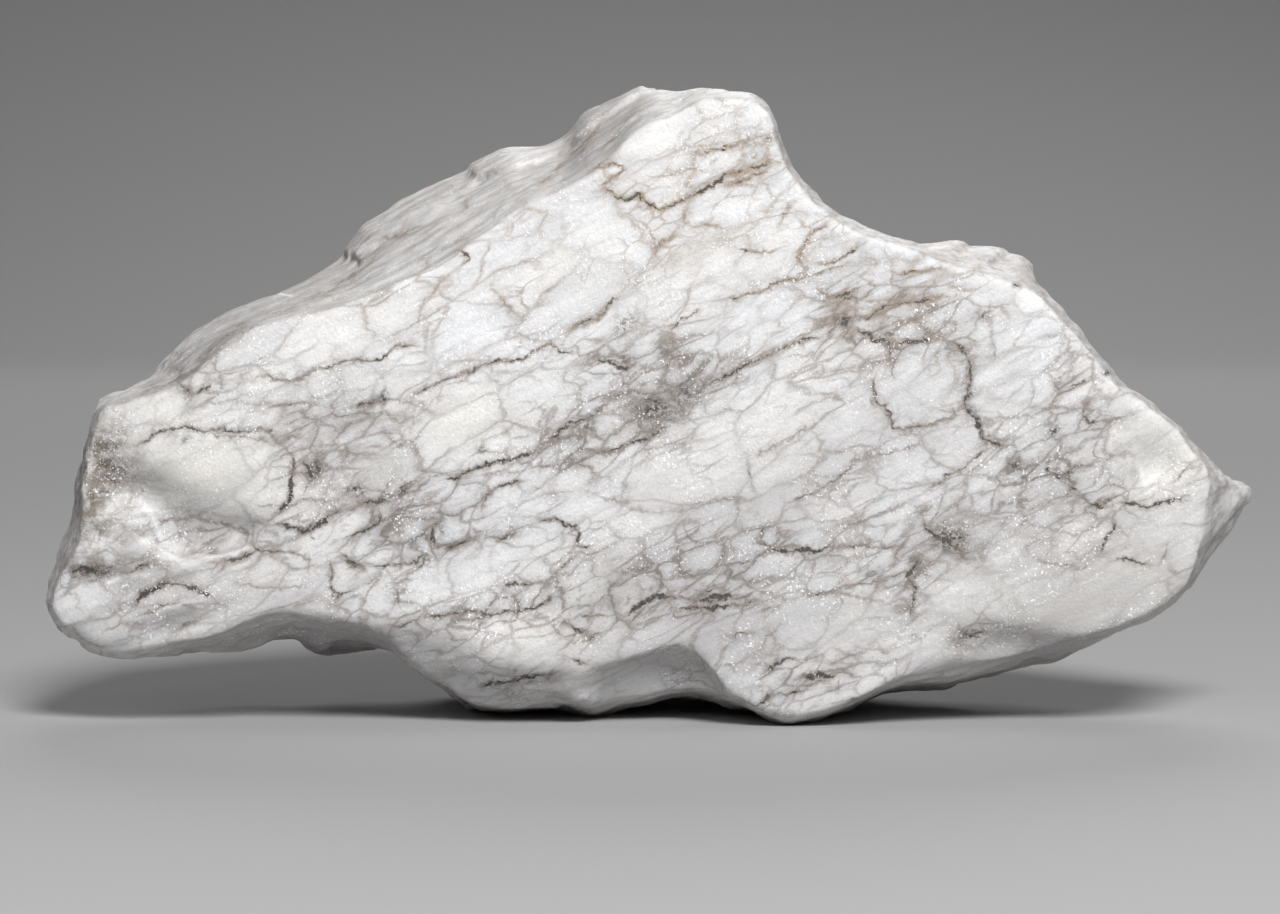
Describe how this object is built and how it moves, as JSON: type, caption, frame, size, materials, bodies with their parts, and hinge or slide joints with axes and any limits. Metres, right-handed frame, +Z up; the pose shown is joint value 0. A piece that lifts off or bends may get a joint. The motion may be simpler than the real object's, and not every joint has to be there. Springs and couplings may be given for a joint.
{
  "type": "gypsum specimen",
  "caption": "Natural block of massive, fine-grained gypsum (alabaster), standing on its lower edge: a flat pale front face with dark net-like veins, and rough broken sides and back",
  "frame": {"origin": "under the middle of the block, on the surface that it stands on", "axes": "+X to the right along the block as the pale face is looked at, +Y into the block, away from the pale face, which faces -Y, and +Z up"},
  "size_m": [0.1785, 0.0621, 0.0937],
  "materials": {
    "gypsum": "satin"
  },
  "bodies": {
    "root": {"alabaster_block": "gypsum"}
  },
  "joints": []
}
